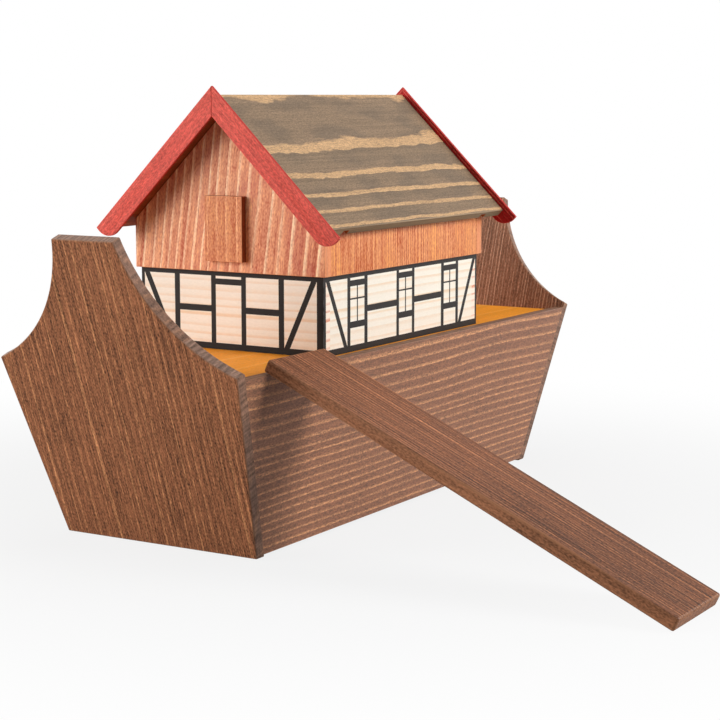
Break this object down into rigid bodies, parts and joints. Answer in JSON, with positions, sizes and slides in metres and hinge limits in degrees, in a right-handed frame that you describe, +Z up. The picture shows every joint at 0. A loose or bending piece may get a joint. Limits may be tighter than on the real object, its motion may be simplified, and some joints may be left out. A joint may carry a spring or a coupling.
{
  "type": "toy noah's ark",
  "caption": "Wooden toy ark: flat-bottomed board hull with raked ends and flared sides, half-timbered deck house, lift-off gable roof and a loose gangplank.",
  "frame": {"origin": "centre of the hull floor's underside, on the surface that the ark stands on", "axes": "+Z up, bow towards -X, port side with the gangplank towards -Y"},
  "size_m": [0.337, 0.2967, 0.1894],
  "materials": {
    "hull_wood": "dark brown stain, satin",
    "deck_wood": "amber stain, satin",
    "timber_print": "pale wood printed with black timber framing",
    "house_wood": "orange stain, satin",
    "hatch_wood": "light brown stain, satin",
    "roof_wood": "grey-brown stain, satin",
    "red_trim": "red stain, satin",
    "plank_wood": "dark brown stain, satin"
  },
  "bodies": {
    "ark": {"hull_floor": "hull_wood", "bow_board": "hull_wood", "stern_board": "hull_wood", "port_side_board": "hull_wood", "starboard_side_board": "hull_wood", "deck": "deck_wood", "front_wall": "timber_print", "rear_wall": "timber_print", "port_wall": "timber_print", "starboard_wall": "timber_print", "front_gable": "house_wood", "rear_gable": "house_wood", "port_upper_wall": "house_wood", "starboard_upper_wall": "house_wood", "loft_hatch": "hatch_wood"},
    "roof": {"port_roof_board": "roof_wood", "starboard_roof_board": "roof_wood", "front_roof_former": "roof_wood", "rear_roof_former": "roof_wood", "front_port_bargeboard": "red_trim", "front_starboard_bargeboard": "red_trim", "rear_port_bargeboard": "red_trim", "rear_starboard_bargeboard": "red_trim"},
    "gangplank": {"gangplank": "plank_wood"}
  },
  "joints": [
    {"name": "roof_lift", "type": "slide", "parent": "ark", "child": "roof", "axis": [0, 0, 1], "range_m": [0, 0.07]},
    {"name": "gangplank_lift", "type": "slide", "parent": "ark", "child": "gangplank", "axis": [0, 0, 1], "range_m": [0, 0.1]}
  ]
}
